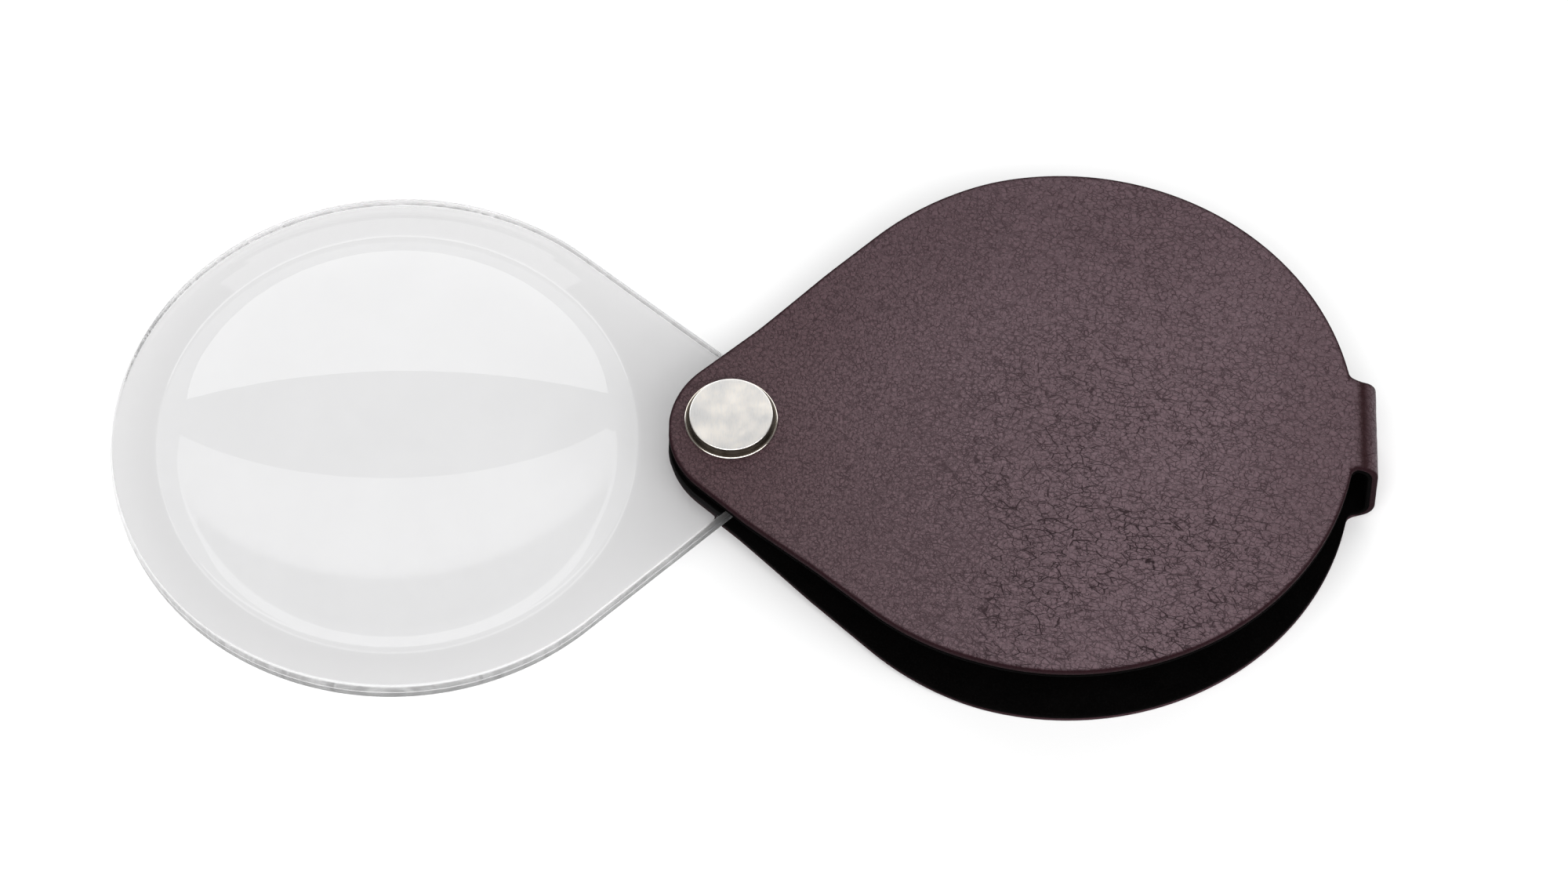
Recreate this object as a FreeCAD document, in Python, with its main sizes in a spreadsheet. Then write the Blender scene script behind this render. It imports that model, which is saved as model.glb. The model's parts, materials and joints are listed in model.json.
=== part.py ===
"""Folding pocket magnifier: a moulded lens swings on a rivet out of a soft leather case.

Row frame: X runs along the case from the rivet to the spine, Y across it, Z up. The case
lies flat with its underside on Z = 0, and the origin is under the middle of the part with
the lens swung out. Each layer is drawn about the rivet's axis and the case's mid-plane.
"""
import FreeCAD, Part
import math
import os
import Sketcher

SHEET_CELLS = [
    # case outline, seen from above
    ("case_radius", 36.25, "round end of each leaf"),
    ("case_reach", 41.6, "rivet to the centre of the round end"),
    ("tip_radius", 11.0, "blunt tip around the rivet"),
    ("tip_reach", 3.2, "rivet to the centre of the tip"),
    ("case_shift", -1.1, "case centre line, to one side of the rivet"),
    ("spine_width", 12.9, "strap that joins the two leaves"),
    ("spine_reach", 80.6, "rivet to the outer face of the spine"),
    ("neck_fillet", 1.2, "fillet where the strap leaves the round end"),
    # case layers and side view
    ("leather_thick", 0.75, "outer leather"),
    ("board_thick", 0.35, "stiffening board"),
    ("lining_thick", 0.20, "inner lining"),
    ("board_inset", 0.45, "board edge inside the leather edge"),
    ("leaf_level", 6.15, "mid-plane to the outside of a leaf where it is flat"),
    ("bend_start", 14.2, "rivet axis to where the leaf starts to rise"),
    ("knee_reach", 24.0, "rivet axis to the end of the steep rise"),
    ("knee_level", 4.57, "outside of the leaf at the end of the steep rise"),
    ("flat_start", 47.0, "rivet axis to where the leaf becomes flat"),
    ("bend_radius", 12.0, "first bend"),
    ("knee_radius", 30.0, "bend at the knee"),
    ("ease_radius", 60.0, "bend into the flat"),
    ("seam_reach", 72.0, "where the flat of the leaf runs on into the spine wrap"),
    ("spine_corner", 3.0, "outer corner of the spine"),
    ("fold_gap", 1.9, "gap between boards at each fold of the spine"),
    # lens and its moulded frame
    ("plate_radius", 35.85, "round end of the lens frame"),
    ("plate_reach", 41.8, "rivet to the lens axis"),
    ("hub_radius", 8.2, "round end of the lens frame at the rivet"),
    ("plate_thick", 3.0, "lens frame"),
    ("lens_radius", 30.0, "optical zone"),
    ("lens_edge", 1.05, "half thickness at the edge of the optical zone"),
    ("lens_crown", 4.00, "half thickness on the lens axis"),
    ("dish_radius", 34.5, "where the frame's dished face meets its flat face"),
    ("rim_fillet", 0.35, "rounding of the frame's outer edge"),
    ("bore_shift", 0.77, "rivet bore, to one side of the frame's centre line"),
    ("swing_rest", 182.1, "angle of the lens from the case axis as stored"),
    # rivet
    ("post_radius", 2.0, "tubular post"),
    ("pin_radius", 1.3, "pin of the stud, pressed into the post"),
    ("radial_play", 0.05, "post to the lens bore"),
    ("axial_play", 0.04, "lens to each friction washer"),
    ("washer_thick", 0.15, "friction washer"),
    ("washer_radius", 6.5, "friction washer"),
    ("flange_radius", 4.6, "flange of post and stud"),
    ("flange_thick", 0.40, "flange of post and stud"),
    ("pin_chamfer", 0.30, "chamfer at the end of the pin"),
    ("ring_radius", 5.85, "lip ring under a cap"),
    ("ring_thick", 0.20, "base of the lip ring"),
    ("lip_height", 0.42, "height of the ring's rolled lip"),
    ("lip_width", 0.40, "width of the ring's rolled lip"),
    ("cap_radius", 5.22, "flat face of a cap"),
    ("cap_waist", 5.06, "cap wall under its face"),
    ("cap_height", 1.45, "leather to the flat face of a cap"),
    ("cap_wall", 0.30, "sheet metal of a cap"),
    ("cap_round", 0.12, "rounding at the edge of the cap's face"),
    ("cap_brim", 0.32, "depth of the cap's face edge that overhangs the wall"),
]

doc = FreeCAD.newDocument("pocket_magnifier")
sheet = doc.addObject("Spreadsheet::Sheet", "sizes")
for row, (alias, value, meaning) in enumerate(SHEET_CELLS, start=1):
    sheet.set(f"A{row}", alias)
    sheet.set(f"B{row}", str(value))
    sheet.set(f"C{row}", meaning)
    sheet.setAlias(f"B{row}", alias)
doc.recompute()


def size(alias):
    """A driving dimension, in millimetres or degrees."""
    return float(sheet.get(alias))


# Heights above the mid-plane at the rivet, from the lens outwards.
LINING_FACE = size("plate_thick") / 2 + size("axial_play") + size("washer_thick")
LEAF_THICK = size("lining_thick") + size("board_thick") + size("leather_thick")
HUB_LEVEL = LINING_FACE + LEAF_THICK
FLANGE_FACE = HUB_LEVEL + size("ring_thick")
CAP_FACE = HUB_LEVEL + size("cap_height")

# Swung out, the lens reaches furthest to -X and -Y, and the case to +X and +Y. The part
# stands on its lower leaf, with the middle of that length and width over the origin.
SWING = FreeCAD.Rotation(FreeCAD.Vector(0, 0, 1), size("swing_rest"))
LENS_CENTRE = SWING.multVec(FreeCAD.Vector(size("plate_reach"), size("bore_shift"), 0))
SPAN_X = (LENS_CENTRE.x - size("plate_radius"), size("spine_reach"))
SPAN_Y = (LENS_CENTRE.y - size("plate_radius"), size("case_radius") + size("case_shift"))
PIVOT = FreeCAD.Vector(-sum(SPAN_X) / 2, -sum(SPAN_Y) / 2, size("leaf_level"))
TURN_OVER = FreeCAD.Rotation(FreeCAD.Vector(1, 0, 0), 180)
OVERSHOOT = 12.0  # how far cutting shapes run past the case
CUT_DEPTH = 40.0  # deeper than the whole part
SEAM_OVERLAP = 1.0  # how far each leaf runs into the spine wrap, to become one piece with it
SHEET_ROUND = 0.08  # small rounding on the edges of thin sheet metal
ROLL_LAND = 0.01  # flat left between the two rounds of the rolled lip


def vec(across, up):
    return FreeCAD.Vector(across, up, 0)


def origin_plane(body, role):
    return next(item for item in body.Origin.OriginFeatures if item.Role == role)


def new_body(label):
    body = doc.addObject("PartDesign::Body", label)
    body.Label = label
    return body


def new_sketch(body, name, role, geometry):
    """A sketch on one of the body's origin planes, with coincident ends joined."""
    sketch = body.newObject("Sketcher::SketchObject", name)
    sketch.AttachmentSupport = (origin_plane(body, role), "")
    sketch.MapMode = "FlatFace"
    for item in geometry:
        sketch.addGeometry(item, False)
    return sketch


def circle_sketch(body, name, alias_expression, centre=(0.0, 0.0)):
    """A circle on the XY plane, its radius bound to the sheet."""
    circle = Part.Circle(vec(*centre), FreeCAD.Vector(0, 0, 1), 1.0)
    sketch = new_sketch(body, name, "XY_Plane", [circle])
    sketch.addConstraint(Sketcher.Constraint("Radius", 0, 1.0))
    sketch.addConstraint(Sketcher.Constraint("DistanceX", 0, 3, centre[0]))
    sketch.addConstraint(Sketcher.Constraint("DistanceY", 0, 3, centre[1]))
    sketch.setExpression("Constraints[0]", alias_expression)
    return sketch


def line(start, end):
    return Part.LineSegment(vec(*start), vec(*end))


def arc(centre, radius, start_angle, end_angle):
    """An arc that runs anticlockwise between two angles in radians."""
    circle = Part.Circle(vec(*centre), FreeCAD.Vector(0, 0, 1), radius)
    return Part.ArcOfCircle(circle, start_angle, end_angle)


def polygon(points):
    ends = points[1:] + points[:1]
    return [line(start, end) for start, end in zip(points, ends)]


def rounded_loop(corners):
    """Lines and tangent arcs through a closed list of (x, y, radius) corners."""
    pieces = []
    count = len(corners)
    exits = []
    entries = []
    arcs = []
    for index, (x, y, radius) in enumerate(corners):
        before = corners[index - 1]
        after = corners[(index + 1) % count]
        corner = vec(x, y)
        back = (vec(before[0], before[1]) - corner).normalize()
        ahead = (vec(after[0], after[1]) - corner).normalize()
        if radius == 0:
            entries.append(corner)
            exits.append(corner)
            arcs.append(None)
            continue
        half = back.getAngle(ahead) / 2
        run = radius / math.tan(half)
        middle = corner + (back + ahead).normalize() * (radius / math.sin(half) - radius)
        entries.append(corner + back * run)
        exits.append(corner + ahead * run)
        arcs.append(Part.Arc(corner + back * run, middle, corner + ahead * run))
    for index in range(count):
        if arcs[index] is not None:
            pieces.append(arcs[index])
        start = exits[index]
        end = entries[(index + 1) % count]
        if start.distanceToPoint(end) > 1e-6:
            pieces.append(Part.LineSegment(start, end))
    return pieces


def offset_corners(corners, depth):
    """An open run of corners moved to its right by depth; each bend keeps its centre."""
    moved = []
    normals = []
    for first, second in zip(corners, corners[1:]):
        along = (vec(second[0], second[1]) - vec(first[0], first[1])).normalize()
        normals.append(vec(along.y, -along.x))
    for index, (x, y, radius) in enumerate(corners):
        before = normals[max(index - 1, 0)]
        after = normals[min(index, len(normals) - 1)]
        middle = (before + after).normalize()
        shift = depth / middle.dot(after)
        turn = before.x * after.y - before.y * after.x
        new_radius = radius + depth if turn > 0 else radius - depth
        if radius == 0:
            new_radius = 0
        moved.append((x + middle.x * shift, y + middle.y * shift, new_radius))
    return moved


def leaf_corners(far_end):
    """Outside of the upper leaf, from the rivet's axis outwards."""
    return [
        (0, HUB_LEVEL, 0),
        (size("bend_start"), HUB_LEVEL, size("bend_radius")),
        (size("knee_reach"), size("knee_level"), size("knee_radius")),
        (size("flat_start"), size("leaf_level"), size("ease_radius")),
        (far_end, size("leaf_level"), 0),
    ]


def spine_corners():
    """Outside of the wrap in side view, from the flat of one leaf to that of the other."""
    upper = [
        (size("seam_reach"), size("leaf_level"), 0),
        (size("spine_reach"), size("leaf_level"), size("spine_corner")),
    ]
    return upper + mirrored(upper)


def mirrored(corners):
    """The same run of corners below the mid-plane, so that the outside stays outside."""
    return [(x, -z, radius) for x, z, radius in reversed(corners)]


def band(corners, outer_depth, inner_depth):
    """The closed section of a layer between two depths below the outside."""
    outer = offset_corners(corners, outer_depth)
    inner = offset_corners(corners, inner_depth)
    return rounded_loop(outer + inner[::-1])


def case_outline(inset, end_reach):
    """Plan of a case layer: tip, straight sides, round end and strap, cut at end_reach."""
    radius = size("case_radius") - inset
    tip = size("tip_radius") - inset
    half_strap = size("spine_width") / 2 - inset
    fillet = size("neck_fillet") + inset
    centre = size("case_reach")
    shift = size("case_shift")
    lean = math.asin((radius - tip) / (centre - size("tip_reach")))
    side_angle = math.pi / 2 + lean
    fillet_y = half_strap + fillet
    fillet_x = centre + math.sqrt((radius + fillet) ** 2 - fillet_y ** 2)
    neck_angle = math.atan2(fillet_y, fillet_x - centre)

    def point(base, length, angle, side):
        return (base + length * math.cos(angle), side * length * math.sin(angle) + shift)

    pieces = [arc((size("tip_reach"), shift), tip, side_angle, 2 * math.pi - side_angle)]
    for side in (1, -1):
        tangent_tip = point(size("tip_reach"), tip, side_angle, side)
        tangent_end = point(centre, radius, side_angle, side)
        pieces.append(line(tangent_tip, tangent_end))
        fillet_centre = (fillet_x, side * fillet_y + shift)
        if side > 0:
            pieces.append(arc((centre, shift), radius, neck_angle, side_angle))
            pieces.append(arc(fillet_centre, fillet, math.pi + neck_angle, 1.5 * math.pi))
        else:
            pieces.append(arc((centre, shift), radius, -side_angle, -neck_angle))
            pieces.append(arc(fillet_centre, fillet, math.pi / 2, math.pi - neck_angle))
        strap_y = side * half_strap + shift
        pieces.append(line((fillet_x, strap_y), (end_reach, strap_y)))
    pieces.append(line((end_reach, half_strap + shift), (end_reach, -half_strap + shift)))
    return pieces


def pad_symmetric(body, sketch, name, expression):
    pad = body.newObject("PartDesign::Pad", name)
    pad.Profile = sketch
    pad.SideType = "Symmetric"
    pad.setExpression("Length", expression)
    return pad


def pocket_through(body, sketch, name):
    pocket = body.newObject("PartDesign::Pocket", name)
    pocket.Profile = sketch
    pocket.SideType = "Symmetric"
    pocket.Type = "Length"
    pocket.Length = CUT_DEPTH
    return pocket


def trim_to_outline(body, outline):
    """Cut away all of a layer that lies outside its plan outline."""
    reach = size("spine_reach") + 2 * OVERSHOOT
    frame = polygon([(-reach, -reach), (reach, -reach), (reach, reach), (-reach, reach)])
    sketch = new_sketch(body, body.Label + "_outline", "XY_Plane", frame + outline)
    return pocket_through(body, sketch, body.Label + "_trim")


def rivet_hole(body):
    sketch = circle_sketch(body, body.Label + "_hole", "sizes.post_radius")
    return pocket_through(body, sketch, body.Label + "_punch")


def turn_about_rivet(body, name, profile):
    """Revolve a section in the XZ plane about the rivet's axis."""
    sketch = new_sketch(body, name + "_profile", "XZ_Plane", profile)
    turn = body.newObject("PartDesign::Revolution", name + "_turn")
    turn.Profile = sketch
    turn.ReferenceAxis = (sketch, ["V_Axis"])
    turn.Angle = 360


def case_layer(label, inset, end_reach, leaves=(), spine=()):
    """One layer of the case: leaves dished round the rivet and a spine wrap, cut to outline.

    The leaves are turned about the rivet's axis, so that the lens clears them as it swings.
    """
    body = new_body(label)
    for number, section in enumerate(leaves, start=1):
        turn_about_rivet(body, f"{label}_leaf{number}", section)
    if spine:
        sketch = new_sketch(body, label + "_section", "XZ_Plane", spine)
        pad_symmetric(body, sketch, label + "_band", "3 * sizes.case_radius")
    trim_to_outline(body, case_outline(inset, end_reach))
    if leaves:
        rivet_hole(body)
    body.Placement = FreeCAD.Placement(PIVOT, FreeCAD.Rotation())


def turned_body(label, profile, upside_down=False):
    """A piece turned about the rivet's axis; the lower one of a pair is turned over."""
    body = new_body(label)
    turn_about_rivet(body, label, profile)
    rotation = TURN_OVER if upside_down else FreeCAD.Rotation()
    body.Placement = FreeCAD.Placement(PIVOT, rotation)
    return body


def build_case():
    """Leather wrap, lining and three boards between them."""
    board_depth = size("leather_thick")
    lining_depth = board_depth + size("board_thick")
    past_spine = size("spine_reach") + OVERSHOOT

    def wrap(label, outer_depth, inner_depth):
        upper = leaf_corners(size("seam_reach") + SEAM_OVERLAP)
        leaves = [
            band(upper, outer_depth, inner_depth),
            band(mirrored(upper), outer_depth, inner_depth),
        ]
        spine = band(spine_corners(), outer_depth, inner_depth)
        case_layer(label, 0, past_spine, leaves, spine)

    wrap("leather_cover", 0, board_depth)
    wrap("lining", lining_depth, LEAF_THICK)

    board_end = size("spine_reach") - lining_depth - size("fold_gap")
    inset = size("board_inset")
    upper = leaf_corners(board_end)
    for label, corners in (("board_upper", upper), ("board_lower", mirrored(upper))):
        section = band(corners, board_depth, lining_depth)
        case_layer(label, inset, past_spine, leaves=[section])

    spine_outside = size("spine_reach") - board_depth
    spine_inside = size("spine_reach") - lining_depth
    spine_top = size("leaf_level") - lining_depth - size("fold_gap")
    spine_section = polygon(
        [
            (spine_inside, -spine_top),
            (spine_outside, -spine_top),
            (spine_outside, spine_top),
            (spine_inside, spine_top),
        ]
    )
    case_layer("board_spine", inset, past_spine, spine=spine_section)


def frame_outline():
    """Teardrop plan of the lens frame about the lens axis, with the rivet towards -X."""
    round_end = size("plate_radius")
    hub = size("hub_radius")
    reach = size("plate_reach")
    side_angle = math.pi / 2 + math.asin((round_end - hub) / reach)
    pieces = [
        arc((-reach, 0), hub, side_angle, 2 * math.pi - side_angle),
        arc((0, 0), round_end, -side_angle, side_angle),
    ]
    for side in (1, -1):
        outward_x = math.cos(side_angle)
        outward_y = side * math.sin(side_angle)
        hub_point = (hub * outward_x - reach, hub * outward_y)
        end_point = (round_end * outward_x, round_end * outward_y)
        pieces.append(line(hub_point, end_point))
    return pieces


def optical_arc(side):
    """Section of one lens surface, from the lens axis to the edge of the optical zone."""
    zone = size("lens_radius")
    crown = size("lens_crown")
    edge = size("lens_edge")
    sag = crown - edge
    surface_radius = (zone ** 2 + sag ** 2) / (2 * sag)
    half_sag = surface_radius - math.sqrt(surface_radius ** 2 - (zone / 2) ** 2)
    middle = vec(zone / 2, side * (crown - half_sag))
    return Part.Arc(vec(0, side * crown), middle, vec(zone, side * edge))


def bulge_profile():
    """Half section of the optical zone."""
    zone = size("lens_radius")
    crown = size("lens_crown")
    edge = size("lens_edge")
    axis_line = line((0, -crown), (0, crown))
    edge_line = line((zone, edge), (zone, -edge))
    return [axis_line, optical_arc(1), edge_line, optical_arc(-1)]


def dish_profile():
    """What is cut off both faces of the frame, as far out as the end of its dished flange."""
    zone = size("lens_radius")
    crown = size("lens_crown")
    edge = size("lens_edge")
    dish = size("dish_radius")
    face = size("plate_thick") / 2
    above = crown + OVERSHOOT
    pieces = []
    for side in (1, -1):
        pieces.append(optical_arc(side))
        pieces.append(line((zone, side * edge), (dish, side * face)))
        pieces.append(line((dish, side * face), (dish, side * above)))
        pieces.append(line((dish, side * above), (0, side * above)))
        pieces.append(line((0, side * above), (0, side * crown)))
    return pieces


def lens_turn(body, kind, name, profile):
    """Add or cut a shape turned about the lens axis."""
    sketch = new_sketch(body, name + "_profile", "XZ_Plane", profile)
    turn = body.newObject(kind, name)
    turn.Profile = sketch
    turn.ReferenceAxis = (sketch, ["V_Axis"])
    turn.Angle = 360


def build_lens():
    """One clear moulding: teardrop frame, dished flange and biconvex optical zone."""
    body = new_body("lens")
    sketch = new_sketch(body, "frame_outline", "XY_Plane", frame_outline())
    plate = pad_symmetric(body, sketch, "frame_plate", "sizes.plate_thick")
    doc.recompute()
    rims = []
    for number, edge in enumerate(plate.Shape.Edges, start=1):
        if edge.BoundBox.ZLength < 1e-6:
            rims.append(f"Edge{number}")
    rounding = body.newObject("PartDesign::Fillet", "frame_rounding")
    rounding.Base = (plate, rims)
    rounding.setExpression("Radius", "sizes.rim_fillet")
    lens_turn(body, "PartDesign::Revolution", "optical_zone", bulge_profile())
    lens_turn(body, "PartDesign::Groove", "flange_dish", dish_profile())

    hub_place = (-size("plate_reach"), -size("bore_shift"))
    bore_radius = "sizes.post_radius + sizes.radial_play"
    bore = circle_sketch(body, "rivet_bore", bore_radius, hub_place)
    bore.setExpression("Constraints[1]", "-sizes.plate_reach")
    bore.setExpression("Constraints[2]", "-sizes.bore_shift")
    pocket_through(body, bore, "bore")
    body.Placement = FreeCAD.Placement(PIVOT + LENS_CENTRE, SWING)


def washer_profile():
    inner = size("post_radius")
    outer = size("washer_radius")
    low = size("plate_thick") / 2 + size("axial_play")
    return polygon([(inner, low), (outer, low), (outer, LINING_FACE), (inner, LINING_FACE)])


def ring_profile():
    """Flat ring on the leather, its rim rolled up into a small round lip."""
    inner = size("post_radius")
    outer = size("ring_radius")
    lip_top = HUB_LEVEL + size("lip_height")
    lip_inner = outer - size("lip_width")
    roll = size("lip_width") / 2 - ROLL_LAND
    return rounded_loop(
        [
            (inner, HUB_LEVEL, 0),
            (outer, HUB_LEVEL, SHEET_ROUND),
            (outer, lip_top, roll),
            (lip_inner, lip_top, roll),
            (lip_inner, FLANGE_FACE, 0),
            (inner, FLANGE_FACE, 0),
        ]
    )


def post_profile():
    """Tubular post with its flange, drawn for the upper side."""
    flange_top = FLANGE_FACE + size("flange_thick")
    bore = size("pin_radius")
    shank = size("post_radius")
    rim = size("flange_radius")
    return polygon(
        [
            (bore, -FLANGE_FACE),
            (shank, -FLANGE_FACE),
            (shank, FLANGE_FACE),
            (rim, FLANGE_FACE),
            (rim, flange_top),
            (bore, flange_top),
        ]
    )


def stud_profile():
    """Flange and solid pin with a chamfered end."""
    flange_top = FLANGE_FACE + size("flange_thick")
    pin = size("pin_radius")
    rim = size("flange_radius")
    pin_end = -size("plate_thick") / 2
    chamfer = size("pin_chamfer")
    return polygon(
        [
            (0, pin_end),
            (pin - chamfer, pin_end),
            (pin, pin_end + chamfer),
            (pin, FLANGE_FACE),
            (rim, FLANGE_FACE),
            (rim, flange_top),
            (0, flange_top),
        ]
    )


def cap_profile():
    """Drawn shell with a flat face that stands a little proud of its wall."""
    face_radius = size("cap_radius")
    waist = size("cap_waist")
    wall = size("cap_wall")
    inside = CAP_FACE - wall
    brim_foot = CAP_FACE - size("cap_brim")
    brim_edge = brim_foot + face_radius - waist
    return rounded_loop(
        [
            (0, inside, 0),
            (waist - wall, inside, SHEET_ROUND),
            (waist - wall, FLANGE_FACE, 0),
            (waist, FLANGE_FACE, SHEET_ROUND),
            (waist, brim_foot, SHEET_ROUND),
            (face_radius, brim_edge, 0),
            (face_radius, CAP_FACE, size("cap_round")),
            (0, CAP_FACE, 0),
        ]
    )


def build_rivet():
    """Post below, stud above, with a lip ring, cap and friction washer on each side."""
    turned_body("rivet_post", post_profile(), upside_down=True)
    turned_body("rivet_stud", stud_profile())
    for side, over in (("upper", False), ("lower", True)):
        turned_body("washer_" + side, washer_profile(), over)
        turned_body("lip_ring_" + side, ring_profile(), over)
        turned_body("cap_" + side, cap_profile(), over)


def check_and_export():
    """Stop on any failed feature or bad solid, then write one file for each body."""
    doc.recompute()
    for item in doc.Objects:
        if "Invalid" in item.State or "Error" in item.State:
            raise RuntimeError(f"{item.Name} failed: {item.State}")
    bodies = [item for item in doc.Objects if item.TypeId == "PartDesign::Body"]
    for body in bodies:
        shape = body.Shape
        if shape.isNull() or not shape.isValid() or len(shape.Solids) != 1:
            raise RuntimeError(f"{body.Label} is not one valid solid")
    os.makedirs("parts", exist_ok=True)
    for body in bodies:
        body.Shape.exportStep(f"parts/{body.Label}.step")
        box = body.Shape.BoundBox
        print(f"{body.Label}: {body.Shape.Volume:.1f} mm3, {box}")


build_case()
build_lens()
build_rivet()
check_and_export()
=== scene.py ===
import json
import math

import bmesh
import bpy
import numpy as np
from mathutils import Matrix, Vector, noise


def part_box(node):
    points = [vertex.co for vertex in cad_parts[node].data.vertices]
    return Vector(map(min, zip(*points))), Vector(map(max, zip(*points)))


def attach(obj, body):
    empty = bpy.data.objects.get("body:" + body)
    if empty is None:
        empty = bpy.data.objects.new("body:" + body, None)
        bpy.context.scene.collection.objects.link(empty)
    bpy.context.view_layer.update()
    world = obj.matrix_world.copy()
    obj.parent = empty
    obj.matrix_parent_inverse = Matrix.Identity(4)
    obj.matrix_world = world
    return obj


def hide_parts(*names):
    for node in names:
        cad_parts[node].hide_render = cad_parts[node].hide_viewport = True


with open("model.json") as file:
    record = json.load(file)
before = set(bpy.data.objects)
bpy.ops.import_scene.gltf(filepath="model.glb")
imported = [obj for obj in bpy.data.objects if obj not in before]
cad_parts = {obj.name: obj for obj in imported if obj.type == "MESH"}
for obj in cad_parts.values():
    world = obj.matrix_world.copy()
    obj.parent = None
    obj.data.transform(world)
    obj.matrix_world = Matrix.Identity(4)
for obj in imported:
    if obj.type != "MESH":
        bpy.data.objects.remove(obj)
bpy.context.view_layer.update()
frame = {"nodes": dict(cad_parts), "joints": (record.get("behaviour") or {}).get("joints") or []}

MM = 0.001

# ---------------------------------------------------------------- places from the frame
PIVOT = Vector(frame["joints"][0]["pos_m"])
CASE_LOW, CASE_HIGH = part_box("leather_cover")
CASE_RADIUS = (CASE_HIGH.y - CASE_LOW.y) / 2 / MM
CASE_SHIFT = ((CASE_HIGH.y + CASE_LOW.y) / 2 - PIVOT.y) / MM
LEAF_LEVEL = (CASE_HIGH.z - CASE_LOW.z) / 2 / MM
SPINE_REACH = (CASE_HIGH.x - PIVOT.x) / MM
BOARD_INSET = 0.45
STRAP_HALF = (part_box("board_spine")[1].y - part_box("board_spine")[0].y) / 2 / MM + BOARD_INSET
HUB_LEVEL = (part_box("lip_ring_upper")[0].z - PIVOT.z) / MM
CAP_FACE = (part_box("cap_upper")[1].z - PIVOT.z) / MM
CAP_RADIUS = (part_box("cap_upper")[1].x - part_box("cap_upper")[0].x) / 2 / MM
RING_RADIUS = (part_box("lip_ring_upper")[1].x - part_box("lip_ring_upper")[0].x) / 2 / MM
LENS_CROWN = (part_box("lens")[1].z - PIVOT.z) / MM

# ---------------------------------------------------------------- design sizes, in mm
TIP_RADIUS = 11.0
TIP_REACH = 3.2
CASE_REACH = 41.6
NECK_FILLET = 1.2
SPINE_CORNER = 3.0
LEATHER = 0.75
LINING_DEPTH = 1.10
LEAF_THICK = 1.30
# each bend of a leaf: distance from the rivet, height of the outside, bending radius
BENDS = ((14.2, 2.99, 12.0), (24.0, 4.57, 30.0), (47.0, 6.15, 60.0))
BEND_TABLE_REACH = 120.0
BEND_TABLE_STEP = 0.01
POST_RADIUS = 2.0
BORE_RADIUS = 2.05

PLATE_REACH = 41.8
PLATE_RADIUS = 35.85
HUB_RADIUS = 8.2
PLATE_HALF = 1.5
LENS_RADIUS = 30.0
LENS_EDGE = 1.05
SPHERE_RADIUS = 27.6
STEP_HALF = 0.12
FLANGE_INNER = 1.39
DISH_RADIUS = 34.5
LAND_FALL = 0.08  # fall of the land between the lens and the step
RIM_WALL = 0.25  # rim points nearer the outline than this are the outer wall
PARTING_LINE = 0.03  # and those nearer than this its parting line
BORE_SHIFT = 0.77
SWING_REST = math.radians(182.1)

# in metres
DRILL_LENGTH = 0.05
WELD_DISTANCE = 1e-7


# ---------------------------------------------------------------- small helpers
def mesh_object(name, vertices, faces):
    """A smooth-shaded piece from points in metres and faces."""
    mesh = bpy.data.meshes.new(name)
    mesh.from_pydata([tuple(v) for v in vertices], [], [tuple(f) for f in faces])
    mesh.validate()
    mesh.update()
    mesh.shade_smooth()
    piece = bpy.data.objects.new(name, mesh)
    bpy.context.scene.collection.objects.link(piece)
    return piece


def apply_modifiers(piece):
    """Replace a piece's mesh by the one its modifiers make."""
    bpy.context.view_layer.update()
    graph = bpy.context.evaluated_depsgraph_get()
    baked = bpy.data.meshes.new_from_object(
        piece.evaluated_get(graph), preserve_all_data_layers=True, depsgraph=graph
    )
    old = piece.data
    piece.modifiers.clear()
    piece.data = baked
    bpy.data.meshes.remove(old)


def drill(piece, centre, radius, segments=96):
    """Cut a round hole through a piece along Z, and apply it."""
    tool_mesh = bpy.data.meshes.new("drill")
    shape = bmesh.new()
    bmesh.ops.create_cone(
        shape, cap_ends=True, segments=segments, radius1=radius, radius2=radius,
        depth=DRILL_LENGTH,
    )
    shape.to_mesh(tool_mesh)
    shape.free()
    tool = bpy.data.objects.new("drill", tool_mesh)
    bpy.context.scene.collection.objects.link(tool)
    tool.location = centre
    cut = piece.modifiers.new("hole", "BOOLEAN")
    cut.operation = "DIFFERENCE"
    cut.solver = "MANIFOLD"
    cut.object = tool
    apply_modifiers(piece)
    bpy.data.objects.remove(tool)
    bpy.data.meshes.remove(tool_mesh)


# ---------------------------------------------------------------- the case's outline
LEAN = math.asin((CASE_RADIUS - TIP_RADIUS) / (CASE_REACH - TIP_REACH))
SIDE_ANGLE = math.pi / 2 + LEAN
SIDE_START = TIP_REACH + TIP_RADIUS * math.cos(SIDE_ANGLE)
SIDE_END = CASE_REACH + CASE_RADIUS * math.cos(SIDE_ANGLE)
FILLET_Y = STRAP_HALF + NECK_FILLET
FILLET_X = CASE_REACH + math.sqrt((CASE_RADIUS + NECK_FILLET) ** 2 - FILLET_Y ** 2)
NECK_X = CASE_REACH + (FILLET_X - CASE_REACH) * CASE_RADIUS / (CASE_RADIUS + NECK_FILLET)


def half_width(x):
    """Half the case's width at a distance x along it from the rivet."""
    tip = np.sqrt(np.maximum(TIP_RADIUS ** 2 - (x - TIP_REACH) ** 2, 0))
    side_slope = (CASE_RADIUS - TIP_RADIUS) * math.sin(SIDE_ANGLE) / (SIDE_END - SIDE_START)
    side = TIP_RADIUS * math.sin(SIDE_ANGLE) + (x - SIDE_START) * side_slope
    end = np.sqrt(np.maximum(CASE_RADIUS ** 2 - (x - CASE_REACH) ** 2, 0))
    neck = FILLET_Y - np.sqrt(np.maximum(NECK_FILLET ** 2 - (x - FILLET_X) ** 2, 0))
    steps = [x < SIDE_START, x < SIDE_END, x < NECK_X, x < FILLET_X]
    return np.select(steps, [tip, side, end, neck], STRAP_HALF)


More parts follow.
